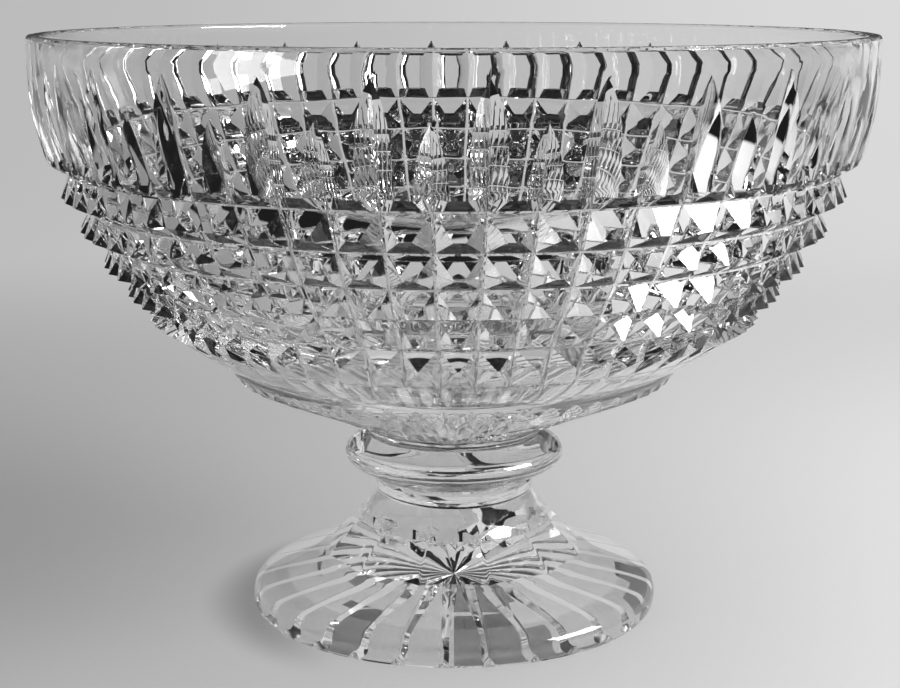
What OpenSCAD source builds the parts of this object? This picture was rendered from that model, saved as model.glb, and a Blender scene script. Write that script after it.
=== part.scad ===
// Footed trifle bowl in cut crystal: a deep bowl, a wide knop disc and a star-cut foot, joined face to face

/* [Bowl] */
// Diameter over the rim
rim_dia = 250; // [230:1:270]
// Height of the bowl from its seat on the knop up to the rim
bowl_rise = 122.9; // [114:0.1:132]
// Thickness of the wall at the rim
lip_wall = 5; // [4:0.1:6]
// Thickness of the glass between the floor of the bowl and its seat
floor_wall = 16.6; // [15:0.1:20]
// Rounding of the two edges of the rim
lip_round = 1.2; // [0.6:0.1:1.6]
// Diameter of the neck where it sits on the knop
neck_dia = 53; // [50:0.5:56]

/* [Upper band] */
// Height of the smooth band from the rim down to its lower edge
band_drop = 35.9; // [34:0.1:38]
// Distance from the rim to the tips of the tall cuts
tall_cut_start = 7; // [5:0.1:9]
// Distance from the rim to the tips of the short cuts
short_cut_start = 17.5; // [15:0.1:20]
// Depth of the cuts at the lower edge of the band
band_cut_depth = 4.3; // [3:0.1:5]
// Distance below its tip over which a cut opens to two thirds of its width
band_cut_run = 6.3; // [5:0.1:8]

/* [Diamond cutting] */
// Number of cut columns round the bowl, an even number
columns = 56; // [48:2:64]
// Height of the pyramids over the grooves between them
pyramid_height = 6; // [4.5:0.1:6.5]
// Depth of the V flutes under the bowl
flute_depth = 2; // [1.2:0.1:2.4]

/* [Knop] */
// Diameter of the knop disc
knop_dia = 68; // [64:0.5:72]
// Thickness of the knop disc between its two seats
knop_thickness = 13.5; // [12:0.1:15]
// Diameter of the seat between the knop and the collar of the foot
stem_dia = 46; // [44:0.5:48]

/* [Foot] */
// Diameter of the foot
foot_dia = 126.8; // [120:0.2:134]
// Height of the foot from the table to the knop
foot_rise = 40.3; // [37:0.1:44]
// Height of the rounded collar under the knop
collar_rise = 5.1; // [4:0.1:6]
// How far the collar swells past its seat
collar_swell = 1.5; // [0.8:0.1:2]
// Rounding of the bottom edge of the foot
base_round = 0.8; // [0.4:0.1:1.2]
// Number of flat panels cut round the cone
panels = 12; // [10:1:14]
// Number of rays in the star cut under the foot
star_rays = 28; // [24:2:32]
// Depth of the star cut
star_depth = 2.3; // [1.6:0.1:2.8]

/* [Hidden] */
$fn = 96;
overrun = 3;
rim_r = rim_dia / 2;
neck_r = neck_dia / 2;
knop_r = knop_dia / 2;
stem_r = stem_dia / 2;
foot_r = foot_dia / 2;
knop_base = foot_rise;
seat = knop_base + knop_thickness;
rim = seat + bowl_rise;
pitch = 360 / columns;
// Turn of the first short cut from the front
first_cut_angle = -2.53;

// The band: radius as shares of the rim radius against depth as shares of the band
band_depth_shares = [0, 0.2, 0.44, 0.69, 0.91, 1];
band_radius_shares = [1, 1, 0.9955, 0.9855, 0.9725, 0.964];
// Widest opening of a cut as a share of its column
cut_width_share = 0.71;
// Levels of the band between the tall tips, the short tips and the lower edge, as shares of each stretch
tall_level_shares = [0.14, 0.34, 0.62];
short_level_shares = [0.08, 0.2, 0.42, 0.7];
// Groove rings below the band, as shares of the rim radius and of the bowl's rise under the rim
groove_radius_shares = [0.9176, 0.872, 0.825, 0.77, 0.71, 0.66];
groove_drop_shares = [0.3184, 0.409, 0.491, 0.5645, 0.639, 0.7323];
// Pyramid rows: height shares, lean upward as shares of the row, half length of the top ridge in columns
row_height_shares = [0.89, 0.96, 1.03, 1.06, 0.98];
row_lean_shares = [0.065, 0.152, 0.132, 0.196, 0.313];
ridge_half_shares = [0.12, 0.075, 0.04, 0.025, 0.02];
// Smooth belt, shoulder and fluted underside, radius and drop shares
belt_shares = [[0.632, 0.7545], [0.592, 0.7805], [0.558, 0.7985]];
shoulder_shares = [[0.5495, 0.8075], [0.547, 0.817], [0.532, 0.842]];
flute_shares = [[0.412, 0.894], [0.287, 0.9485], [0.232, 0.9725]];
flute_depth_shares = [0.5, 1, 0.95, 0.6, 0];
// Direction in which the flutes are sunk, inward and upward, as shares of their depth
flute_sink_shares = [0.4, 0.9];
scallop_sink_shares = [0.6, 0.8];
// Place of the scallop's edge in its column where the flutes run out, and of plain points beside no cut
scallop_share = 0.3;
uncut_half_share = 0.25;
// Neck below the flutes, drop shares only
neck_swell_shares = [1.045, 1.035];
neck_drop_shares = [0.979, 0.99];
// Bowl's inside: rise shares against which its radius follows one smooth rule
cavity_power_shares = [1.9, 0.5];
cavity_steps = 30;
// Knop outline from its top seat to its lower seat, as shares of its radius and thickness
knop_shares = [[0.835, 0.955], [0.909, 0.862], [0.975, 0.75], [1, 0.6], [0.98, 0.42], [0.9, 0.255],
    [0.79, 0.105]];
// Foot: smooth top of the cone, planes of the panels and the dome, as shares of the foot's radius and rise
cone_shares = [[0.374, 0.873], [0.405, 0.823], [0.445, 0.7395], [0.489, 0.677], [0.66, 0.4]];
panel_shares = [[0.445, 0.7395], [0.4716, 0.677], [0.5789, 0.4888], [0.64, 0.39]];
dome_shares = [[0.55, 0.452], [0.609, 0.422], [0.686, 0.385], [0.773, 0.3275], [0.88, 0.2556],
    [0.9527, 0.186], [0.989, 0.094]];
star_reach_shares = [0, 0.09, 0.22, 0.4, 0.6, 0.78, 0.9, 0.975];
star_depth_shares = [0.1, 0.5, 0.9, 1, 0.93, 0.74, 0.42, -0.12];
star_slope_share = 0.84;
glass_colors = [[0.80, 0.86, 0.90], [0.70, 0.80, 0.88], [0.76, 0.83, 0.88]];

// Helpers

function lookup_shares(xs, ys, x) = lookup(x, [for (i = [0 : len(xs) - 1]) [xs[i], ys[i]]]);
function at(angle, r, z) = [r * sin(angle), -r * cos(angle), z];
function sum_to(list, n) = n <= 0 ? 0 : list[n - 1] + sum_to(list, n - 1);

// Smooth curve through points, n steps a stretch
function curve(p, n) = let (last = len(p) - 1) concat(
    [for (i = [0 : last - 1]) for (j = [0 : n - 1])
        let (t = j / n, a = p[max(i - 1, 0)], b = p[i], c = p[i + 1], d = p[min(i + 2, last)])
            ((2 * b) + (c - a) * t + (2 * a - 5 * b + 4 * c - d) * t * t
                + (3 * b - a - 3 * c + d) * t * t * t) / 2],
    [p[last]]);

// Bowl: the outer skin is made of rings, each a list of columns of [share of the column, radius, height]

function band_r(drop) = rim_r * lookup_shares(band_depth_shares, band_radius_shares, drop / band_drop);
function cut_start(k) = k % 2 == 0 ? short_cut_start : tall_cut_start;
function cut_open(k, drop) = drop <= cut_start(k) ? 0 : 1 - exp((cut_start(k) - drop) / band_cut_run);
function cut_half(k, drop) = cut_open(k, drop) == 0 ? uncut_half_share : cut_width_share / 2 * cut_open(k, drop);

function band_ring(drop) = [for (k = [0 : columns - 1])
    let (r = band_r(drop), z = rim - drop)
        [[0, r - band_cut_depth * cut_open(k, drop), z], [cut_half(k, drop), r, z], [0.5, r, z],
            [1 - cut_half(k + 1, drop), r, z]]];
function plain_ring(r, z) = [for (k = [0 : columns - 1]) [[0, r, z], [0.5, r, z]]];
function groove_ring(i) = [for (k = [0 : columns - 1])
    [[0, rim_r * groove_radius_shares[i], rim - bowl_rise * groove_drop_shares[i]]]];
function flute_ring(r, z, depth) = [for (k = [0 : columns - 1])
    [[0, r - depth * flute_sink_shares[0], z + depth * flute_sink_shares[1]], [0.5, r, z]]];
function shoulder_ring(r, z, depth) = [for (k = [0 : columns - 1])
    [[0, r - depth * scallop_sink_shares[0], z + depth * scallop_sink_shares[1]], [scallop_share, r, z],
        [0.5, r, z], [1 - scallop_share, r, z]]];

function underside(p) = [rim_r * p[0], rim - bowl_rise * p[1]];

band_levels = concat([tall_cut_start],
    [for (s = tall_level_shares) tall_cut_start + s * (short_cut_start - tall_cut_start)],
    [short_cut_start],
    [for (s = short_level_shares) short_cut_start + s * (band_drop - short_cut_start)],
    [band_drop]);

upper_rings = concat(
    [plain_ring(rim_r - lip_round, rim),
        plain_ring(rim_r - lip_round * (1 - cos(45)), rim - lip_round * (1 - sin(45))),
        plain_ring(rim_r, rim - lip_round)],
    [for (d = band_levels) band_ring(d)],
    [groove_ring(0)]);

lower_rings = let (s = [for (p = shoulder_shares) underside(p)], f = [for (p = flute_shares) underside(p)])
    concat(
        [groove_ring(len(groove_radius_shares) - 1)],
        [for (p = belt_shares) let (q = underside(p)) plain_ring(q[0], q[1])],
        [plain_ring(s[0][0], s[0][1]),
            shoulder_ring(s[1][0], s[1][1], flute_depth * flute_depth_shares[0]),
            flute_ring(s[2][0], s[2][1], flute_depth * flute_depth_shares[1])],
        [for (i = [0 : len(f) - 1]) flute_ring(f[i][0], f[i][1], flute_depth * flute_depth_shares[i + 2])],
        [for (i = [0 : len(neck_drop_shares) - 1])
            plain_ring(neck_r * neck_swell_shares[i], rim - bowl_rise * neck_drop_shares[i])],
        [plain_ring(neck_r, seat)]);

function ring_points(ring) = [for (k = [0 : columns - 1]) for (q = ring[k])
    at(first_cut_angle + (k + q[0]) * pitch, q[1], q[2])];
// Index of point j of column k in a ring that starts at a given base
function ring_index(ring, base, k, j) = let (per = len(ring[0]), kk = (k + floor(j / per)) % columns)
    base + kk * per + j % per;
function ring_share(ring, k, j) = j >= len(ring[0]) ? 1 : ring[k][j][0];

// Triangles between two rings, column by column, always stepping to the nearer next point
function zip(a, ab, b, bb, k, i, j) =
    let (ea = i >= len(a[0]), eb = j >= len(b[0]))
        ea && eb ? [] :
        let (step_a = eb || (!ea && ring_share(a, k, i + 1) <= ring_share(b, k, j + 1)))
            step_a ?
                concat([[ring_index(a, ab, k, i), ring_index(a, ab, k, i + 1), ring_index(b, bb, k, j)]],
                    zip(a, ab, b, bb, k, i + 1, j)) :
                concat([[ring_index(a, ab, k, i), ring_index(b, bb, k, j + 1), ring_index(b, bb, k, j)]],
                    zip(a, ab, b, bb, k, i, j + 1));

function ring_bases(rings, start) = [for (i = [0 : len(rings) - 1])
    start + sum_to([for (r = rings) columns * len(r[0])], i)];
function skin(rings, bases) = [for (i = [0 : len(rings) - 2]) for (k = [0 : columns - 1])
    each zip(rings[i], bases[i], rings[i + 1], bases[i + 1], k, 0, 0)];

// Pyramids: four corners on the grooves and a short ridge on top
rows = len(row_height_shares);
function row_top(i) =
    let (a = [rim_r * groove_radius_shares[i], rim - bowl_rise * groove_drop_shares[i]],
        b = [rim_r * groove_radius_shares[i + 1], rim - bowl_rise * groove_drop_shares[i + 1]],
        along = (b - a) / norm(b - a), out = [-along[1], along[0]])
        (a + b) / 2 + out * pyramid_height * row_height_shares[i] - (b - a) * row_lean_shares[i];
function ridge_ring(i) = let (t = row_top(i)) [for (k = [0 : columns - 1])
    [[0.5 - ridge_half_shares[i], t[0], t[1]], [0.5 + ridge_half_shares[i], t[0], t[1]]]];

module bowl_skin() {
    grooves = [for (i = [1 : rows - 1]) groove_ring(i)];
    ridges = [for (i = [0 : rows - 1]) ridge_ring(i)];
    upper_bases = ring_bases(upper_rings, 0);
    upper_count = sum_to([for (r = upper_rings) columns * len(r[0])], len(upper_rings));
    groove_bases = ring_bases(grooves, upper_count);
    groove_count = columns * len(grooves);
    ridge_bases = ring_bases(ridges, upper_count + groove_count);
    ridge_count = 2 * columns * rows;
    lower_start = upper_count + groove_count + ridge_count;
    lower_bases = ring_bases(lower_rings, lower_start);
    lower_count = sum_to([for (r = lower_rings) columns * len(r[0])], len(lower_rings));
    top_center = lower_start + lower_count;
    bottom_center = top_center + 1;
    groove_base = concat([upper_bases[len(upper_bases) - 1]], groove_bases, [lower_bases[0]]);
    points = concat(
        [for (r = upper_rings) each ring_points(r)],
        [for (r = grooves) each ring_points(r)],
        [for (r = ridges) each ring_points(r)],
        [for (r = lower_rings) each ring_points(r)],
        [[0, 0, rim], [0, 0, seat]]);
    cells = [for (i = [0 : rows - 1]) for (k = [0 : columns - 1])
        let (n = (k + 1) % columns, a = groove_base[i] + k, b = groove_base[i] + n,
            c = groove_base[i + 1] + n, d = groove_base[i + 1] + k,
            l = ridge_bases[i] + 2 * k, r = l + 1)
            each [[a, b, r], [a, r, l], [b, c, r], [c, d, l], [c, l, r], [d, a, l]]];
    last = len(lower_rings) - 1;
    per_top = len(upper_rings[0][0]);
    per_low = len(lower_rings[last][0]);
    caps = concat(
        [for (j = [0 : columns * per_top - 1])
            [top_center, upper_bases[0] + (j + 1) % (columns * per_top), upper_bases[0] + j]],
        [for (j = [0 : columns * per_low - 1])
            [bottom_center, lower_bases[last] + j, lower_bases[last] + (j + 1) % (columns * per_low)]]);
    polyhedron(points = points,
        faces = concat(skin(upper_rings, upper_bases), cells, skin(lower_rings, lower_bases), caps),
        convexity = 10);
}

// Inside of the bowl: radius against the share of its depth
cavity_r = rim_r - lip_wall;
cavity_floor = seat + floor_wall;
function cavity_radius(u) = cavity_r * pow(1 - pow(1 - u, cavity_power_shares[0]), cavity_power_shares[1]);

module cavity() {
    depth = rim - lip_round - cavity_floor;
    wall = [for (i = [0 : cavity_steps]) let (u = pow(i / cavity_steps, 2))
        [cavity_radius(u), cavity_floor + u * depth]];
    lip = [for (a = [15 : 15 : 90])
        [cavity_r + lip_round * (1 - cos(a)), rim - lip_round * (1 - sin(a))]];
    rotate_extrude() polygon(concat(wall, lip,
        [[cavity_r + lip_round, rim + overrun], [0, rim + overrun]]));
}

module bowl() {
    color(glass_colors[0]) difference() {
        bowl_skin();
        cavity();
    }
}

// Knop: a turned disc with a rounded edge

module knop() {
    outline = concat([[neck_r, knop_thickness]],
        curve([for (p = knop_shares) [knop_r * p[0], knop_thickness * p[1]]], 3),
        [[stem_r, 0]]);
    color(glass_colors[1]) translate([0, 0, knop_base])
        rotate_extrude() polygon(concat([[0, 0], [0, knop_thickness]], outline));
}

// Foot: collar, panelled cone, domed disc and the star cut underneath

crease_r = foot_r * cone_shares[0][0];

module collar() {
    base = foot_rise - collar_rise;
    bead = [for (a = [-60 : 20 : 80])
        [crease_r + (stem_r + collar_swell - crease_r) * cos(a), base + collar_rise * (1 + sin(a)) / 2]];
    rotate_extrude() polygon(concat([[0, base - overrun], [crease_r, base - overrun], [crease_r, base]],
        bead, [[stem_r, foot_rise], [0, foot_rise]]));
}

module cone() {
    pts = [for (p = cone_shares) [foot_r * p[0], foot_rise * p[1]]];
    low = foot_rise * cone_shares[len(cone_shares) - 1][1];
    rotate_extrude() polygon(concat([[0, low]], [[0, pts[0][1]]], pts));
}

module panel_cuts() {
    line = [for (p = panel_shares) [foot_r * p[0], foot_rise * p[1]]];
    far = foot_r;
    // The upper plane carried on to above the foot
    up = line[0] + (line[0] - line[1]) * (foot_rise + overrun - line[0][1]) / (line[0][1] - line[1][1]);
    for (i = [0 : panels - 1]) rotate([0, 0, -90 + i * 360 / panels])
        translate([0, foot_r, 0]) rotate([90, 0, 0])
            linear_extrude(height = foot_dia)
                polygon(concat(line, [[far, line[len(line) - 1][1]], [far, foot_rise + overrun], up]));
}

module dome() {
    top = curve([for (p = dome_shares) [foot_r * p[0], foot_rise * p[1]]], 3);
    edge = [for (a = [0 : 30 : 90]) [foot_r - base_round * (1 - cos(a)), base_round * (1 - sin(a))]];
    rotate_extrude() polygon(concat([[0, 0], [0, top[0][1]]], top, edge));
}

function star_z(j) = star_depth * star_depth_shares[j];
function star_reach(j) = foot_r * star_reach_shares[j];

module star() {
    half = 180 / star_rays;
    n = len(star_reach_shares);
    // Groove and ridge points alternate round each ring; the centre is one point
    ring = [for (j = [1 : n - 1]) for (k = [0 : star_rays - 1]) each [
        at(first_cut_angle + 2 * k * half, star_reach(j), star_z(j)),
        at(first_cut_angle + (2 * k + 1) * half, star_reach(j),
            star_z(j) - star_slope_share * star_reach(j) * sin(half))]];
    low = min([for (p = ring) p[2]]) - overrun;
    per = 2 * star_rays;
    skirt = [for (k = [0 : per - 1]) at(first_cut_angle + k * half, star_reach(n - 1), low)];
    points = concat([[0, 0, star_z(0)]], ring, skirt, [[0, 0, low]]);
    end = 1 + per * n;
    faces = concat(
        [for (k = [0 : per - 1]) [0, 1 + (k + 1) % per, 1 + k]],
        [for (j = [0 : n - 2]) for (k = [0 : per - 1])
            let (a = 1 + j * per + k, b = 1 + j * per + (k + 1) % per, c = a + per, d = b + per)
                each (k % 2 == 0 ? [[a, b, d], [a, d, c]] : [[a, b, c], [b, d, c]])],
        [for (k = [0 : per - 1]) [end, end - per + k, end - per + (k + 1) % per]]);
    polyhedron(points = points, faces = faces, convexity = 10);
}

module foot() {
    color(glass_colors[2]) difference() {
        union() {
            collar();
            difference() {
                cone();
                panel_cuts();
            }
            dome();
        }
        star();
    }
}

bowl();
knop();
foot();
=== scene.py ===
# Footed trifle bowl in cut crystal, on a pale table in soft light
import math

import bmesh
import bpy
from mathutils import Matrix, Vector


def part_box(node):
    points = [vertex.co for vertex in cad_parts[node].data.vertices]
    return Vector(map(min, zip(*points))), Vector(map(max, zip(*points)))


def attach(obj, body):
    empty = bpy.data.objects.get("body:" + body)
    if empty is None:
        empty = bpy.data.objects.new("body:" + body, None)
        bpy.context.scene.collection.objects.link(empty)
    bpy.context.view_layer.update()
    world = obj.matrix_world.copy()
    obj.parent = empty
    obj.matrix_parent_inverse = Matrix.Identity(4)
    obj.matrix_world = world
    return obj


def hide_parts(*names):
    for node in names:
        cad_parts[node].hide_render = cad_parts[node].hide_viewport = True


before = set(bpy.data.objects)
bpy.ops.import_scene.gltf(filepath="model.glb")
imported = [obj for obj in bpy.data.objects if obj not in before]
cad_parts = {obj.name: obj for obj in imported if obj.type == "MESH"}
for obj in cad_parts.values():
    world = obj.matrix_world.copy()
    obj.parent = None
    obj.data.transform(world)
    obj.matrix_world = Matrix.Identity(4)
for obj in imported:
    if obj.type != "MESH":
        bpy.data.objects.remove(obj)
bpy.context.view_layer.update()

bpy.ops.object.select_all(action="DESELECT")

MM = 0.001
TURN = 2 * math.pi
TINY = 1e-6                     # moves and gaps under this don't count
SAME_POINT = 2 * TINY           # points of one sector closer than this are merged
SAME_SEAM = 4 * TINY            # and points where two sectors meet
SAME_HEIGHT = 10 * TINY
FLAT = 0.999                    # least upright part of the normal of a level face

# Sizes that the CAD nodes give
RIM_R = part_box("bowl")[1][0]
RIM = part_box("bowl")[1][2]
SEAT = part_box("bowl")[0][2]
KNOP_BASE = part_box("knop")[0][2]
KNOP_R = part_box("knop")[1][0]
FOOT_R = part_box("foot")[1][0]
RISE = RIM - SEAT
NECK_R = 26.5 * MM
STEM_R = 23 * MM

# The cutting of the bowl
COLUMNS = 56
PITCH = TURN / COLUMNS
FIRST_CUT = math.radians(-2.53)
STEPS = 8                       # points round one column
CUT_DEPTH = 4.3 * MM
CUT_RUN = 7.6 * MM              # drop in which a cut opens by about two thirds
CUT_WIDTH = 0.73                # of a column
CUT_START = 0.012               # half width of a cut where it starts, of a column
FLOOR_SHARE = 0.35              # most of a cut's half width that its floor takes
SHORT_TIP = 17.5 * MM
TALL_TIP = 7.0 * MM

# The band: its drop, how far it draws in, from which drop on, and how that grows
BAND_DROP = 35.9 * MM
BAND_LEAN = 5 * MM
BAND_UPRIGHT = 7 * MM
BAND_BEND = 30.3 * MM
BAND_POWER = 2.1
# Drops of its rings in mm, closer where the cuts start
BAND_DROPS = (33.4, 30.7, 28, 25, 22.8, 21, 19.7, 18.7, 18, 17.5, 14.8, 12.4, 10.6, 9.2, 8.2, 7.5, 7, 4, 1.2)

# Groove rings: radius as a share of the rim's, drop as a share of the rise
GROOVES = ((0.9176, 0.3184), (0.872, 0.409), (0.825, 0.491), (0.77, 0.5645), (0.71, 0.639), (0.66, 0.7323))
GROOVE_FLOOR = 0.5 * MM         # half width of the polished floor of a groove
GROOVE_ROUND = 0.2 * MM         # how far that floor is rounded up at its edges
# Pyramid rows: height in mm, lean upward as a share of the row, half length of the ridge in columns
ROWS = ((5.35, 0.065, 0.12), (5.75, 0.152, 0.085), (6.2, 0.132, 0.045), (6.35, 0.196, 0.03),
        (5.9, 0.313, 0.025))
# A corner of a pyramid's foot and the end of its ridge, as points of a ring of two columns
HIPS = ((1, 2), (7, 6), (9, 10), (15, 14))

# The belt and the step under it, as shares like the grooves
BELT = ((0.632, 0.7545), (0.592, 0.7805), (0.558, 0.7985))
BELT_STEP = ((0.5508, 0.8035), (0.5495, 0.808))
# Flutes: radius and drop shares, how far the cut is open, its depth in mm
FLUTES = ((0.226, 0.9745, None, 0), (0.232, 0.972, 0, 0), (0.25, 0.9655, 0.75, 0.6), (0.287, 0.9485, 1, 1.1),
          (0.345, 0.922, 1, 1.4), (0.412, 0.894, 1, 1.7), (0.475, 0.868, 1, 1.9), (0.532, 0.842, 1, 2.1),
          (0.5385, 0.834, 0.86, 2.0), (0.5435, 0.826, 0.6, 2.0), (0.5465, 0.8195, 0.3, 2.0),
          (0.5475, 0.816, 0, 0), (0.548, 0.814, None, 0))
FLUTE_WIDTH = 0.96              # of a column
FLUTE_FLOOR = 0.35 * MM
FLUTE_IN, FLUTE_UP = 0.4, 0.9   # the way a flute's depth runs
# The neck over its seat: radius and height in mm
NECK = ((27.2, 54.6), (27.75, 55.6), (27.9, 56.4))

# The lip and the hollow
LIP_ROUND = 1.2 * MM
LIP_ANGLES = (20, 45, 68, 90)
CAVITY_R = RIM_R - 5 * MM
CAVITY_FLOOR = SEAT + 16.6 * MM
CAVITY_POWER = 1.9
CAVITY_RINGS = 40

# The knop's side: radius and height in mm, and the radius that the smooth line through them reaches
KNOP_SIDE = ((26.5, 53.8), (29.1, 52.9), (31.6, 51.6), (33.2, 50.2), (34.0, 48.2), (33.6, 46.4), (32.0, 44.8),
             (29.3, 43.2), (26.4, 41.5), (24.2, 40.6))
KNOP_WIDEST = 34.02 * MM
KNOP_STEPS = 128

# The foot: radius and height in mm, from the stem's seat down to the base
PANELS = 12
PANEL_STEPS = 28                # points round one panel
CORNER_SHARE = 0.022            # of a panel, from its corner to the first point beside it
CORNER_ROUND = 0.9675           # apothem over radius stays above this, which blunts the corners
COLLAR = ((0, 40.3), (11.5, 40.3), (23, 40.3), (23.9, 39.9), (24.4, 39.2), (24.6, 38.2), (24.55, 37.2),
          (24.3, 36.3), (23.95, 35.6), (23.7, 35.2), (24.3, 34.7), (25.1, 33.9), (25.9, 33.0), (26.8, 31.9),
          (27.6, 30.7))
ARCH = (30.75, 27.3)            # a panel's arch at its corners
ARCH_LIFT = (2.6, 2.5)          # how far in and up it goes in the middle
ARCH_WAY = (0.45, 0.9)          # the slope of the cone beside it, out and down
ARCH_EDGE = 0.15                # of that slope, on each side of the arch's crisp edge
FLATS = ((29.45, 26.75), (29.75, 26.4), (32.0, 24.4), (34.2, 22.2), (36.6, 19.75))
FLAT_END = 39.1                 # where the panels run out on the dome
DOME_START = (38.6, 17.0)
DOME_SLOPE = 0.305
DOME = ((41.6, 16.1), (43.5, 15.5), (49, 13.2), (55.8, 10.45), (58.6, 9.2))
FOOT_RIM = ((60.65, 8.2), (61.8, 7.35), (62.55, 6.45), (63.05, 5.5), (63.3, 4.6), (63.4, 3.7), (63.37, 2.8),
            (63.22, 1.7), (62.95, 0.7), (62.5, 0))
FOOT_WIDEST = 63.4 * MM

# The star under the foot: radius, half width and depth of a ray in mm, from its mouth inward
RAYS = 28
RAY_STEPS = 12                  # points round one ray and the land beside it
RAY_SIDE_STEPS = 4              # of them, down one side of the ray
FIRST_RAY = math.radians(-2.9)
RAY_MOUTH = ((62.1, 1.7, 0), (61.7, 1.6, 0), (61.3, 1.6, 0.8), (60.6, 1.8, 1.5), (59.6, 1.9, 1.8),
             (57, 1.5, 1.5), (53, 1.2, 1.2))
RAY_RADII = (48, 43, 38, 33, 28, 24, 20)
RAY_OUTER, RAY_HALF, RAY_DEPTH = 60, 0.8, 0.9
RAY_WIDEN, RAY_DEEPEN = 0.033, 0.027
# Further in the rays are as wide as their spacing, and get shallower toward the star's point
STAR_RADII = (18, 15, 12, 8, 4.5, 2)
STAR_HALF = 9                   # more than half their spacing anywhere here
STAR_DEPTH = 1.98
STAR_POWER = 0.9

# Where the paper's painted shade, painted shadow and painted light turn from one tone to the next, in metres
# across, or away from the bowl's middle
PAPER_ACROSS = (-0.22, 0.2)
WINDOW_ACROSS = (0.24, 0.55)
SHADOW_AWAY = (0.082, 0.064)
SHADOW_ACROSS = (-0.03, -0.062)
FOOT_AWAY = (0.063, 0.057)
# Where the backdrop starts toward the back, and where its painted shade turns across
BACKDROP_BACK = (0.12, 0.75)
BACKDROP_ACROSS = (-0.5, 0.5)
# Where the sheet is painted dark for the glass, as painted shade: away, toward the front, upward, and past
# the table's end
DARK_AWAY = (0.46, 0.5)
DARK_FRONT = (0.36, 0.3)
DARK_UP = (0.195, 0.21)
TABLE_END_WAY = (-0.35, -0.94, 0)
TABLE_END = (0.127, 0.133)

# Tones of the paper, the backdrop and the room; across the paper and the backdrop they are painted shade,
# with a painted shadow beside the foot and painted light under it
PAPER_LEFT, PAPER_RIGHT = 0.54, 0.7
PAPER_NEAR_WINDOW = 0.36
PAPER_IN_SHADOW = 0.33
PAPER_UNDER_FOOT = 0.95
BACKDROP_LEFT, BACKDROP_RIGHT = 0.5, 0.7
NIGHT = 0.012
HORIZON, HORIZON_TOP = 0.75, 0.5
HORIZON_END, DARK_START = 0.14, 0.15
ROOM_LIGHT = 0.35
ROOM_SEEN = 0.55

# The sheet's profile: radius and height in metres
SWEEP = ((0, 0), (0.5, 0), (0.9, 0), (1.2, 0.02), (1.4, 0.1), (1.52, 0.22), (1.58, 0.34), (1.6, 0.44))
SWEEP_STEPS = 96

# The camera and what the lamp aims at
CAMERA_PLACE = (0, -0.5346, 0.19256)
CAMERA_TILT = math.radians(78.245)
SENSOR, LENS, SHIFT = 36.0, 70.4, -0.0044
AIM = Vector((0, 0, 0.09))


# Modelling by hand moves

def edit(obj):
    """The object alone selected, in edit mode."""
    bpy.ops.object.select_all(action="DESELECT")
    bpy.context.view_layer.objects.active = obj
    obj.select_set(True)
    bpy.ops.object.mode_set(mode="EDIT")
    return bmesh.from_edit_mesh(obj.data)


def place(r, z, angle):
    """A point at an angle from the front, turning toward the right."""
    return Vector((r * math.sin(angle), -r * math.cos(angle), z))


def drawn(name, points, angle):
    """A profile of (radius, height) points, drawn point by point from one corner of a plane."""
    bpy.ops.mesh.primitive_plane_add(size=MM, location=(0, 0, 0))
    obj = bpy.context.object
    obj.name = obj.data.name = name
    bm = edit(obj)
    bpy.ops.mesh.select_all(action="SELECT")
    bm.verts.ensure_lookup_table()
    bm.verts[0].select_set(False)
    bpy.ops.mesh.delete(type="VERT")
    bm = bmesh.from_edit_mesh(obj.data)
    bm.verts.ensure_lookup_table()
    path = [place(r, z, angle) for r, z in points]
    bm.verts[0].select = True
    bmesh.update_edit_mesh(obj.data)
    bpy.ops.transform.translate(value=path[0] - bm.verts[0].co)
    for a, b in zip(path, path[1:]):
        bpy.ops.mesh.extrude_vertices_move(TRANSFORM_OT_translate={"value": b - a})
    return obj


def spun(name, points, steps, start=0.0, angle=TURN):
    """A drawn profile spun round the bowl's axis, left in edit mode."""
    obj = drawn(name, points, start)
    bpy.ops.mesh.select_all(action="SELECT")
    bpy.ops.mesh.spin(steps=steps, angle=-angle, center=(0, 0, 0), axis=(0, 0, 1))
    bpy.ops.mesh.select_all(action="SELECT")
    bpy.ops.mesh.remove_doubles(threshold=SAME_POINT)
    return obj


def cut_round(name, rings, steps, start, copies):
    """One sector of cut glass, pushed to shape from a spun blank.

    A ring tells, for a point of the sector, its share of the sector's angle, its radius and its height."""
    angle = TURN / copies
    line = [ring(steps // 2)[1:] for ring in rings]
    obj = spun(name, line, steps, start, angle)
    bm = bmesh.from_edit_mesh(obj.data)
    bpy.ops.mesh.select_all(action="DESELECT")
    for v in bm.verts:
        r = math.hypot(v.co.x, v.co.y)
        ring = min(range(len(line)), key=lambda i: (line[i][0] - r) ** 2 + (line[i][1] - v.co.z) ** 2)
        if line[ring][0] == 0:
            continue
        turn = (math.atan2(v.co.x, -v.co.y) - start) / angle
        share, r, z = rings[ring](round(turn * steps))
        move = place(r, z, start + share * angle) - v.co
        if move.length > TINY:
            v.select = True
            bpy.ops.transform.translate(value=move)
            v.select = False
    return obj


def copied_round(copies):
    """The sector in edit mode, copied round the axis and merged."""
    bpy.ops.mesh.select_all(action="SELECT")
    bpy.ops.mesh.spin(steps=copies - 1, dupli=True, angle=TURN * (copies - 1) / copies,
                      center=(0, 0, 0), axis=(0, 0, 1))
    bpy.ops.mesh.select_all(action="SELECT")
    bpy.ops.mesh.remove_doubles(threshold=SAME_SEAM)


def closed(obj, degrees):
    """Faces turned outward, and edges sharper than an angle left crisp."""
    bpy.ops.mesh.select_all(action="SELECT")
    bpy.ops.mesh.normals_make_consistent(inside=False)
    bpy.ops.object.mode_set(mode="OBJECT")
    bpy.ops.object.shade_smooth_by_angle(angle=math.radians(degrees))
    return obj


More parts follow.
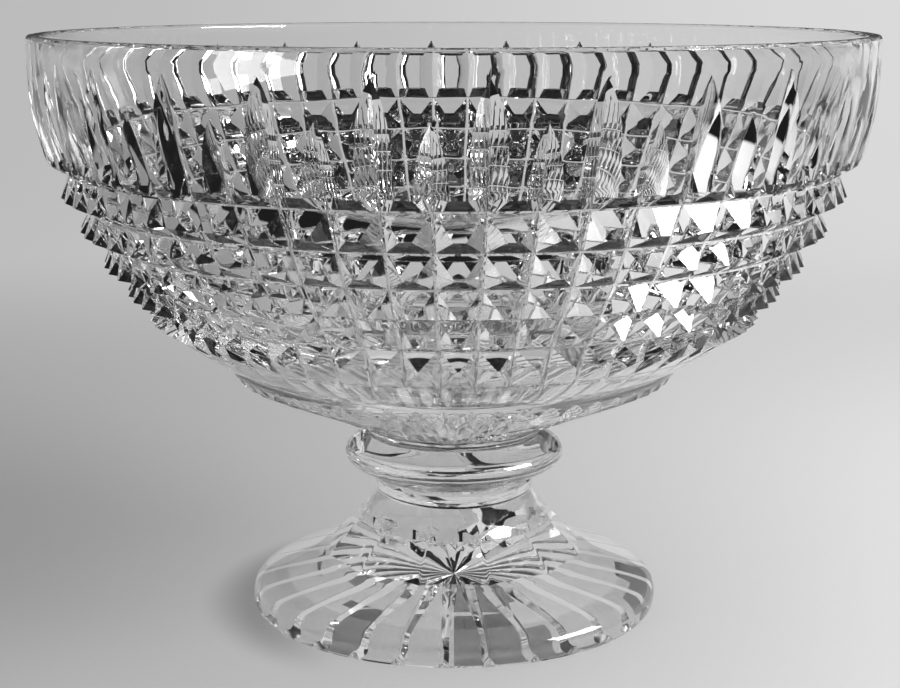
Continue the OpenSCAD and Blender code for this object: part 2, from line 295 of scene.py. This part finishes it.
def smooth_line(points, n):
    """A smooth line through points, n steps a stretch."""
    made, last = [], len(points) - 1
    for i in range(last):
        a, b, c, d = (Vector(points[j]) for j in (max(i - 1, 0), i, i + 1, min(i + 2, last)))
        bend, turn = 2 * a - 5 * b + 4 * c - d, 3 * b - a - 3 * c + d
        for t in (j / n for j in range(n)):
            made.append(tuple((2 * b + (c - a) * t + bend * t ** 2 + turn * t ** 3) / 2))
    return made + [tuple(points[-1])]


# The bowl: a short and a tall column, then copied round

def plain(r, z):
    """A round ring with nothing cut into it."""
    return lambda p: (p / (2 * STEPS), r, z)


def columns(at):
    """A ring of the two columns, from a rule for a column and a point of it."""
    def ring(p):
        k, c = divmod(p, STEPS)
        share, r, z = at(k, c)
        return (k + share) / 2, r, z
    return ring


def cut_open(k, drop):
    """How far the cut beside column k is open at a drop from the rim, or -1 above its tip."""
    start = TALL_TIP if k % 2 else SHORT_TIP
    return -1 if drop < start - TINY else 1 - math.exp((start - drop) / CUT_RUN)


def cut_profile(opening, width, depth, floor):
    """Half width of a cut, half width of its floor, depth in its middle and at its floor's edge."""
    if opening < 0:
        return 2 / STEPS, 1 / STEPS, 0, 0
    half = max(width / 2 * opening, CUT_START)
    flat = min(floor, half * FLOOR_SHARE)
    deep = depth * opening
    return half, flat, deep * (1 - flat / half / 2), deep * (1 - flat / half)


def cut_shares(near, far):
    """Shares of the column for its eight points, between one cut and the next."""
    h, f, h2, f2 = near[0], near[1], far[0], far[1]
    return 0, f, h, (h + 0.5) / 2, 0.5, (1.5 - h2) / 2, 1 - h2, 1 - f2


def cut_in(near, far, c):
    """Depth at a point of the column: in the cut's middle, at its floor's edges, and none on the glass."""
    return {0: near[2], 1: near[3], STEPS - 1: far[3]}.get(c, 0)


def band_radius(drop):
    return RIM_R - BAND_LEAN * max(0, (drop - BAND_UPRIGHT) / BAND_BEND) ** BAND_POWER


def band_ring(drop):
    r, z = band_radius(drop), RIM - drop
    floor = GROOVE_FLOOR / (r * PITCH)

    def at(k, c):
        near, far = (cut_profile(cut_open(j, drop), CUT_WIDTH, CUT_DEPTH, floor) for j in (k, k + 1))
        return cut_shares(near, far)[c], r - cut_in(near, far, c), z
    return columns(at)


def under(a, b):
    """A point of the section, from shares of the rim's radius and of the rise."""
    return Vector((RIM_R * a, RIM - RISE * b))


def outward(a, b):
    """The way from one point of the section to the next, and the way out of the glass."""
    along = (b - a).normalized()
    return along, Vector((-along.y, along.x))


def groove_stop(i):
    """A groove's own point, or for the ends the band's edge and the top of the belt."""
    if i < 0:
        return Vector((band_radius(BAND_DROP), RIM - BAND_DROP))
    return under(*(GROOVES + BELT)[i])


def groove_rings(i):
    """Upper edge, middle and lower edge of the polished floor of a groove ring."""
    g = groove_stop(i)
    floor = GROOVE_FLOOR / (g.x * PITCH)
    shares = [0] + [floor + (1 - 2 * floor) * j / (STEPS - 2) for j in range(STEPS - 1)]
    up, up_out = outward(groove_stop(i - 1), g)
    down, down_out = outward(g, groove_stop(i + 1))
    rings = []
    for low, rise in ((g - up * GROOVE_FLOOR, up_out * GROOVE_ROUND), (g, Vector((0, 0))),
                      (g + down * GROOVE_FLOOR, down_out * GROOVE_ROUND)):
        def at(k, c, low=low, high=low + rise):
            return shares[c], *(low if c == 0 else high)
        rings.append(columns(at))
    return rings


def ridge_ring(i):
    """The level of the pyramids' tops between groove i and the next."""
    a, b = groove_stop(i), groove_stop(i + 1)
    height, lean, half = ROWS[i]
    out = outward(a, b)[1]
    middle = (a + b) / 2
    top = middle + out * height * MM - (b - a) * lean
    edge = middle + out * GROOVE_ROUND
    floor = GROOVE_FLOOR / (middle.x * PITCH)
    shares = [0, floor] + [0.5 + half * j / 2 for j in (-2, -1, 0, 1, 2)] + [1 - floor]
    spots = [middle, edge] + [top] * (STEPS - 3) + [edge]
    return columns(lambda k, c: (shares[c], *spots[c]))


def flute_ring(a, b, opening, depth):
    r, z = under(a, b)
    cut = cut_profile(-1 if opening is None else opening, FLUTE_WIDTH, depth * MM, FLUTE_FLOOR / (r * PITCH))

    def at(k, c):
        deep = cut_in(cut, cut, c)
        return cut_shares(cut, cut)[c], r - deep * FLUTE_IN, z + deep * FLUTE_UP
    return columns(at)


def outside_rings():
    """Rings from the neck's seat up to the band's top."""
    rings = [plain(0, SEAT), plain(NECK_R * 0.5, SEAT), plain(NECK_R, SEAT)]
    rings += [plain(r * MM, z * MM) for r, z in NECK]
    rings += [flute_ring(*f) for f in FLUTES]
    rings += [plain(*under(a, b)) for a, b in (BELT + BELT_STEP)[::-1]]
    for i in reversed(range(len(GROOVES))):
        rings += groove_rings(i)[::-1]
        if i:
            rings.append(ridge_ring(i - 1))
    return rings + [band_ring(BAND_DROP)] + [band_ring(d * MM) for d in BAND_DROPS]


def inside_rings():
    """Rings over the lip and down the hollow."""
    rings = []
    for corner, side in ((RIM_R - LIP_ROUND, 1), (CAVITY_R + LIP_ROUND, -1)):
        for degrees in LIP_ANGLES[::side]:
            a = math.radians(degrees)
            r = corner + side * LIP_ROUND * math.cos(a)
            rings.append(plain(r, RIM - LIP_ROUND * (1 - math.sin(a))))
    depth = RIM - LIP_ROUND - CAVITY_FLOOR
    for j in range(CAVITY_RINGS, 0, -1):
        u = (j / CAVITY_RINGS) ** 2
        rings.append(plain(CAVITY_R * (1 - (1 - u) ** CAVITY_POWER) ** 0.5, CAVITY_FLOOR + u * depth))
    return rings + [plain(0, CAVITY_FLOOR)]


def hip_ends():
    """The corners of each pyramid's foot, paired with the ends of its ridge."""
    for i in range(len(ROWS)):
        for foot in (groove_rings(i)[2], groove_rings(i + 1)[0]):
            for corner, end in HIPS:
                pair = (foot(corner), ridge_ring(i)(end))
                yield [place(r, z, FIRST_CUT + share * 2 * PITCH) for share, r, z in pair]


def make_bowl():
    obj = cut_round("cut_bowl", outside_rings() + inside_rings(), 2 * STEPS, FIRST_CUT, COLUMNS // 2)
    bm = bmesh.from_edit_mesh(obj.data)
    for ends in hip_ends():
        bpy.ops.mesh.select_all(action="DESELECT")
        for spot in ends:
            min(bm.verts, key=lambda v: (v.co - spot).length_squared).select = True
        bpy.ops.mesh.vert_connect()
        bm = bmesh.from_edit_mesh(obj.data)
    copied_round(COLUMNS // 2)
    return closed(obj, degrees=19)


# The knop

def make_knop():
    line = [(0, SEAT), (NECK_R * 0.5, SEAT), (NECK_R, SEAT)]
    line += [(r * MM * KNOP_R / KNOP_WIDEST, z * MM) for r, z in smooth_line(KNOP_SIDE, 4)[1:]]
    line += [(STEM_R, KNOP_BASE), (STEM_R * 0.5, KNOP_BASE), (0, KNOP_BASE)]
    return closed(spun("crystal_knop", line, KNOP_STEPS), degrees=30)


# The foot: a panelled cone on a dome, with a star cut under it

def panel_share(p):
    """Even steps, with two points close to each corner for its rounding."""
    return {1: CORNER_SHARE, PANEL_STEPS - 1: 1 - CORNER_SHARE}.get(p, p / PANEL_STEPS)


def off_middle(p):
    """A flat's apothem as a share of its radius at a point, with the corners rounded off."""
    return max(CORNER_ROUND, math.cos((panel_share(p) - 0.5) * TURN / PANELS))


def round_ring(r, z):
    return lambda p: (panel_share(p), r * MM, z * MM)


def flat_ring(apothem, z):
    return lambda p: (panel_share(p), apothem * MM / off_middle(p), z * MM)


def arch_ring(down):
    """The curved top of a panel, moved down the cone by a share of its slope."""
    def ring(p):
        lift = 1 - (2 * panel_share(p) - 1) ** 2
        r = ARCH[0] - ARCH_LIFT[0] * lift + ARCH_WAY[0] * down
        z = ARCH[1] + ARCH_LIFT[1] * lift - ARCH_WAY[1] * down
        return panel_share(p), r * MM, z * MM
    return ring


def flats_end(p):
    """The line where a panel runs out on the dome, lower toward its corners."""
    r = FLAT_END / off_middle(p)
    return panel_share(p), r * MM, (DOME_START[1] - (r - DOME_START[0]) * DOME_SLOPE) * MM


def foot_outside():
    """Rings of one panel, from the stem's seat down to the base's edge."""
    rings = [round_ring(r, z) for r, z in COLLAR]
    rings += [arch_ring(-ARCH_EDGE), arch_ring(ARCH_EDGE)]
    rings += [flat_ring(r, z) for r, z in FLATS]
    rings += [flats_end]
    wide = FOOT_R / FOOT_WIDEST
    return rings + [round_ring(r * wide, z) for r, z in smooth_line(DOME, 4) + list(FOOT_RIM)]


def ray_ring(r, half_width, depth):
    half = min(0.5, half_width * RAYS / (r * TURN)) if r else 0.5

    def at(p):
        c = min(p, RAY_STEPS - p)
        past = (c - RAY_SIDE_STEPS) / (RAY_STEPS / 2 - RAY_SIDE_STEPS)
        share = half + (0.5 - half) * past if past > 0 else half * c / RAY_SIDE_STEPS
        z = depth * max(0, 1 - share / half)
        return (share if p <= RAY_STEPS / 2 else 1 - share), r * MM, z * MM
    return at


def foot_underside():
    """Rings of one ray of the star, from the base's edge in to the star's point."""
    rings = [ray_ring(*ray) for ray in RAY_MOUTH]
    for r in RAY_RADII:
        inward = RAY_OUTER - r
        rings.append(ray_ring(r, RAY_HALF + inward * RAY_WIDEN, RAY_DEPTH + inward * RAY_DEEPEN))
    for r in STAR_RADII:
        rings.append(ray_ring(r, STAR_HALF, STAR_DEPTH * (r / STAR_RADII[0]) ** STAR_POWER))
    return rings + [ray_ring(0, 1, 0)]


def make_foot():
    halves = []
    for name, rings, steps, start, copies in (
            ("crystal_foot", foot_outside(), PANEL_STEPS, -math.pi / PANELS, PANELS),
            ("star_cut", foot_underside(), RAY_STEPS, FIRST_RAY, RAYS)):
        halves.append(cut_round(name, rings, steps, start, copies))
        copied_round(copies)
        bpy.ops.object.mode_set(mode="OBJECT")
    foot, star = halves
    bpy.ops.object.select_all(action="DESELECT")
    star.select_set(True)
    foot.select_set(True)
    bpy.context.view_layer.objects.active = foot
    bpy.ops.object.join()
    # the two halves' edges, a little turned from each other, bridged
    bm = edit(foot)
    bpy.ops.mesh.select_all(action="DESELECT")
    bpy.ops.mesh.select_mode(type="EDGE")
    for e in bm.edges:
        e.select = e.is_boundary
    bpy.ops.mesh.bridge_edge_loops()
    bpy.ops.mesh.select_mode(type="VERT")
    return closed(foot, degrees=15)


# Small parts of materials

def grey(level):
    return level, level, level, 1


def blend(n, link, factor, a, b):
    """A tone that turns from a to b; each is a level of grey or what another node gives."""
    mix = n.new("ShaderNodeMix")
    mix.data_type = "RGBA"
    for name, given in (("A", a), ("B", b)):
        if isinstance(given, float):
            mix.inputs[name].default_value = grey(given)
        else:
            link.new(given, mix.inputs[name])
    link.new(factor, mix.inputs["Factor"])
    return mix.outputs["Result"]


def soft_step(n, link, value, start, end):
    """From 0 to 1 while a value goes from start to end, upward or downward."""
    step = n.new("ShaderNodeMapRange")
    step.interpolation_type = "SMOOTHSTEP"
    step.inputs["From Min"].default_value = min(start, end)
    step.inputs["From Max"].default_value = max(start, end)
    step.inputs["To Min"].default_value = float(start > end)
    step.inputs["To Max"].default_value = float(start < end)
    link.new(value, step.inputs["Value"])
    return step.outputs["Result"]


def joined_by(n, link, operation, first, *others):
    """Values brought together by one operation, such as their product or the greatest of them."""
    for other in others:
        step = n.new("ShaderNodeMath")
        step.operation = operation
        link.new(first, step.inputs[0])
        link.new(other, step.inputs[1])
        first = step.outputs[0]
    return first


def either_ray(n, link, rays):
    """The rays that left a piece of glass, mirrored or bent."""
    return joined_by(n, link, "MAXIMUM", rays.outputs["Is Glossy Ray"], rays.outputs["Is Transmission Ray"])


def shaders(n, link, factor, a, b):
    """Shader b where the factor is 1, and shader a where it is 0."""
    both = n.new("ShaderNodeMixShader")
    link.new(factor, both.inputs["Fac"])
    link.new(a, both.inputs[1])
    link.new(b, both.inputs[2])
    return both.outputs["Shader"]


# Crystal

def waviness():
    """Hand polish: a faint wave and faint smears, as a normal and a roughness."""
    group = bpy.data.node_groups.new("hand_polish", "ShaderNodeTree")
    for name in ("Wave Size", "Wave Height", "Smear"):
        group.interface.new_socket(name=name, in_out="INPUT", socket_type="NodeSocketFloat")
    group.interface.new_socket(name="Roughness", in_out="OUTPUT", socket_type="NodeSocketFloat")
    group.interface.new_socket(name="Normal", in_out="OUTPUT", socket_type="NodeSocketVector")
    n, link = group.nodes, group.links
    given, out = n.new("NodeGroupInput"), n.new("NodeGroupOutput")
    where = n.new("ShaderNodeTexCoord")
    wave = n.new("ShaderNodeTexNoise")
    wave.inputs["Detail"].default_value = 1.0
    link.new(where.outputs["Object"], wave.inputs["Vector"])
    link.new(given.outputs["Wave Size"], wave.inputs["Scale"])
    bump = n.new("ShaderNodeBump")
    bump.inputs["Distance"].default_value = 0.2 * MM
    link.new(wave.outputs["Fac"], bump.inputs["Height"])
    link.new(given.outputs["Wave Height"], bump.inputs["Strength"])
    smear = n.new("ShaderNodeTexNoise")
    smear.inputs["Scale"].default_value = 60.0
    smear.inputs["Detail"].default_value = 3.0
    link.new(where.outputs["Object"], smear.inputs["Vector"])
    spread = n.new("ShaderNodeMapRange")
    spread.inputs["From Min"].default_value = 0.45
    spread.inputs["From Max"].default_value = 0.75
    link.new(smear.outputs["Fac"], spread.inputs["Value"])
    link.new(given.outputs["Smear"], spread.inputs["To Max"])
    link.new(spread.outputs["Result"], out.inputs["Roughness"])
    link.new(bump.outputs["Normal"], out.inputs["Normal"])
    return group


HAND_POLISH = waviness()


def crystal(name, alpha, wave_height, smear, shade):
    """Clear glass; shade is how much of a lamp's light each of its faces lets on to the table."""
    mat = bpy.data.materials.new(name)
    mat.use_nodes = True
    n, link = mat.node_tree.nodes, mat.node_tree.links
    glass = n["Principled BSDF"]
    glass.inputs["Base Color"].default_value = grey(0.975)
    glass.inputs["Metallic"].default_value = 0.0
    glass.inputs["Transmission Weight"].default_value = 1.0
    glass.inputs["IOR"].default_value = 1.54
    glass.inputs["Alpha"].default_value = alpha
    polish = n.new("ShaderNodeGroup")
    polish.node_tree = HAND_POLISH
    polish.inputs["Wave Size"].default_value = 90.0
    polish.inputs["Wave Height"].default_value = wave_height
    polish.inputs["Smear"].default_value = smear
    link.new(polish.outputs["Roughness"], glass.inputs["Roughness"])
    link.new(polish.outputs["Normal"], glass.inputs["Normal"])
    # lamps shine through to the table, so that the shadow stays pale
    rays = n.new("ShaderNodeLightPath")
    clear = n.new("ShaderNodeBsdfTransparent")
    clear.inputs["Color"].default_value = grey(shade)
    lit = shaders(n, link, rays.outputs["Is Shadow Ray"], glass.outputs["BSDF"], clear.outputs["BSDF"])
    link.new(lit, n["Material Output"].inputs["Surface"])
    return mat


CRYSTAL = crystal("cut_crystal", alpha=1.0, wave_height=0.1, smear=0.02, shade=0.86)
FOOT_CRYSTAL = crystal("foot_crystal", alpha=1.0, wave_height=0.16, smear=0.02, shade=1.0)
JOINED = crystal("joined_crystal", alpha=0.0, wave_height=0.0, smear=0.0, shade=1.0)


def finish_piece(obj, node, glass, joint_heights):
    """Crystal all over, and clear glass where two pieces are joined hot."""
    obj.data.materials.append(glass)
    obj.data.materials.append(JOINED)
    for face in obj.data.polygons:
        height = obj.data.vertices[face.vertices[0]].co.z
        at_joint = any(abs(height - z) < SAME_HEIGHT for z in joint_heights)
        if at_joint and abs(face.normal.z) > FLAT and face.center.xy.length < NECK_R:
            face.material_index = 1
    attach(obj, "root")
    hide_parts(node)


# The table and the room

def paper_with_painted_light(n, link, x, away, where):
    """The table's paper, with a fine grain, and painted light and shade: darker to the left and lighter to
    the right.
    """
    tone = blend(n, link, soft_step(n, link, x, *PAPER_ACROSS), PAPER_LEFT, PAPER_RIGHT)
    # painted shade: the paper close to the window is toned down, so that it doesn't glare
    tone = blend(n, link, soft_step(n, link, x, *WINDOW_ACROSS), tone, PAPER_NEAR_WINDOW)
    # a painted shadow: the foot's soft shadow hugs its left side, away from the window
    beside = soft_step(n, link, away, *SHADOW_AWAY)
    to_left = soft_step(n, link, x, *SHADOW_ACROSS)
    tone = blend(n, link, joined_by(n, link, "MULTIPLY", beside, to_left), tone, PAPER_IN_SHADOW)
    # painted light: the paper under the foot is made pale, for the light that the foot gathers on it
    tone = blend(n, link, soft_step(n, link, away, *FOOT_AWAY), tone, PAPER_UNDER_FOOT)
    grain = n.new("ShaderNodeTexNoise")
    grain.inputs["Scale"].default_value = 900.0
    grain.inputs["Detail"].default_value = 2.0
    link.new(where, grain.inputs["Vector"])
    fibre = n.new("ShaderNodeMix")
    fibre.data_type = "RGBA"
    fibre.blend_type = "SOFT_LIGHT"
    fibre.inputs["Factor"].default_value = 0.05
    link.new(tone, fibre.inputs["A"])
    link.new(grain.outputs["Color"], fibre.inputs["B"])
    return fibre.outputs["Result"]


def dark_side(n, link, split, away, where):
    """Where the glass sees the studio's dark: past the table's front and sides, and over the sweep. There the
    sheet is painted near black, as painted shade.
    """
    far = soft_step(n, link, away, *DARK_AWAY)
    front = soft_step(n, link, split.outputs["Y"], *DARK_FRONT)
    over = soft_step(n, link, split.outputs["Z"], *DARK_UP)
    # the table is taken to end a little before the bowl, toward the front left; past it the sheet is painted
    # dark for the glass
    toward = n.new("ShaderNodeVectorMath")
    toward.operation = "DOT_PRODUCT"
    toward.inputs[1].default_value = TABLE_END_WAY
    link.new(where, toward.inputs[0])
    ended = soft_step(n, link, toward.outputs["Value"], *TABLE_END)
    past = joined_by(n, link, "MULTIPLY", far, front)
    return joined_by(n, link, "MAXIMUM", past, over, ended)


def stage_material():
    mat = bpy.data.materials.new("pale_sweep")
    mat.use_nodes = True
    n, link = mat.node_tree.nodes, mat.node_tree.links
    where = n.new("ShaderNodeTexCoord").outputs["Object"]
    split = n.new("ShaderNodeSeparateXYZ")
    link.new(where, split.inputs["Vector"])
    x = split.outputs["X"]
    length = n.new("ShaderNodeVectorMath")
    length.operation = "LENGTH"
    link.new(where, length.inputs[0])
    away = length.outputs["Value"]
    paper = n["Principled BSDF"]
    paper.inputs["Roughness"].default_value = 0.7
    paper.inputs["Specular IOR Level"].default_value = 0.2
    # the paper's colour holds painted shade, a painted shadow and painted light
    link.new(paper_with_painted_light(n, link, x, away, where), paper.inputs["Base Color"])
    # the backdrop glows pale to the eye and in the glass, with painted shade: darker to the left, lighter to
    # the right
    rays = n.new("ShaderNodeLightPath")
    in_glass = either_ray(n, link, rays)
    behind = soft_step(n, link, split.outputs["Y"], *BACKDROP_BACK)
    looked = joined_by(n, link, "MAXIMUM", rays.outputs["Is Camera Ray"], in_glass)
    glow = n.new("ShaderNodeEmission")
    across = soft_step(n, link, x, *BACKDROP_ACROSS)
    link.new(blend(n, link, across, BACKDROP_LEFT, BACKDROP_RIGHT), glow.inputs["Color"])
    backdrop = joined_by(n, link, "MULTIPLY", behind, looked)
    pale = shaders(n, link, backdrop, paper.outputs["BSDF"], glow.outputs["Emission"])
    night = n.new("ShaderNodeEmission")
    night.inputs["Color"].default_value = grey(NIGHT)
    # painted shade: in the glass the sheet shows near black where the studio is dark
    painted_dark = joined_by(n, link, "MULTIPLY", dark_side(n, link, split, away, where), in_glass)
    sheet = shaders(n, link, painted_dark, pale, night.outputs["Emission"])
    link.new(sheet, n["Material Output"].inputs["Surface"])
    return mat


def make_stage():
    """One sheet that curves up all round."""
    obj = spun("paper_sweep", smooth_line(SWEEP, 8), SWEEP_STEPS)
    bpy.ops.mesh.select_all(action="SELECT")
    bpy.ops.mesh.normals_make_consistent(inside=True)
    bpy.ops.object.mode_set(mode="OBJECT")
    bpy.ops.object.shade_smooth_by_angle(angle=math.radians(60))
    obj.data.materials.append(stage_material())


def make_room():
    """Pale round the horizon and dark overhead."""
    world = bpy.data.worlds.new("studio_room")
    bpy.context.scene.world = world
    world.use_nodes = True
    n, link = world.node_tree.nodes, world.node_tree.links
    where = n.new("ShaderNodeTexCoord")
    split = n.new("ShaderNodeSeparateXYZ")
    link.new(where.outputs["Generated"], split.inputs["Vector"])
    up = n.new("ShaderNodeValToRGB")
    link.new(split.outputs["Z"], up.inputs["Fac"])
    ramp = up.color_ramp
    ramp.elements[0].position, ramp.elements[0].color = 0.0, grey(HORIZON)
    ramp.elements[1].position, ramp.elements[1].color = 1.0, grey(NIGHT)
    for at, level in ((HORIZON_END, HORIZON_TOP), (DARK_START, NIGHT)):
        ramp.elements.new(at).color = grey(level)
    rays = n.new("ShaderNodeLightPath")
    tone = blend(n, link, either_ray(n, link, rays), ROOM_LIGHT, up.outputs["Color"])
    tone = blend(n, link, rays.outputs["Is Camera Ray"], tone, ROOM_SEEN)
    link.new(tone, n["Background"].inputs["Color"])


def soft_box(name, azimuth, elevation, distance, width, height, power):
    """A soft lamp aimed at the bowl; azimuth runs from the front toward the right."""
    lamp = bpy.data.lights.new(name, "AREA")
    lamp.shape = "RECTANGLE"
    lamp.size, lamp.size_y = width, height
    lamp.energy = power
    obj = bpy.data.objects.new(name, lamp)
    bpy.context.collection.objects.link(obj)
    a, e = math.radians(azimuth), math.radians(elevation)
    obj.location = AIM + place(math.cos(e), math.sin(e), a) * distance
    obj.rotation_euler = (obj.location - AIM).to_track_quat("Z", "Y").to_euler()


def make_camera():
    lens = bpy.data.cameras.new("camera")
    lens.sensor_width = SENSOR
    lens.lens = LENS
    lens.shift_x = SHIFT
    obj = bpy.data.objects.new("camera", lens)
    bpy.context.collection.objects.link(obj)
    obj.location = CAMERA_PLACE
    obj.rotation_euler = (CAMERA_TILT, 0, 0)
    bpy.context.scene.camera = obj


def set_light_paths(cycles):
    """Light goes round inside cut crystal many times before it leaves."""
    cycles.max_bounces = 32
    cycles.glossy_bounces = 24
    cycles.transmission_bounces = 24
    cycles.transparent_max_bounces = 24
    cycles.caustics_refractive = False
    cycles.caustics_reflective = False


finish_piece(make_bowl(), "bowl", CRYSTAL, [SEAT])
finish_piece(make_knop(), "knop", FOOT_CRYSTAL, [SEAT, KNOP_BASE])
finish_piece(make_foot(), "foot", FOOT_CRYSTAL, [KNOP_BASE])
make_stage()
make_room()
soft_box("window", azimuth=74, elevation=23, distance=1.25, width=0.68, height=0.38, power=25)
make_camera()
set_light_paths(bpy.context.scene.cycles)
bpy.context.scene.view_settings.view_transform = "Standard"
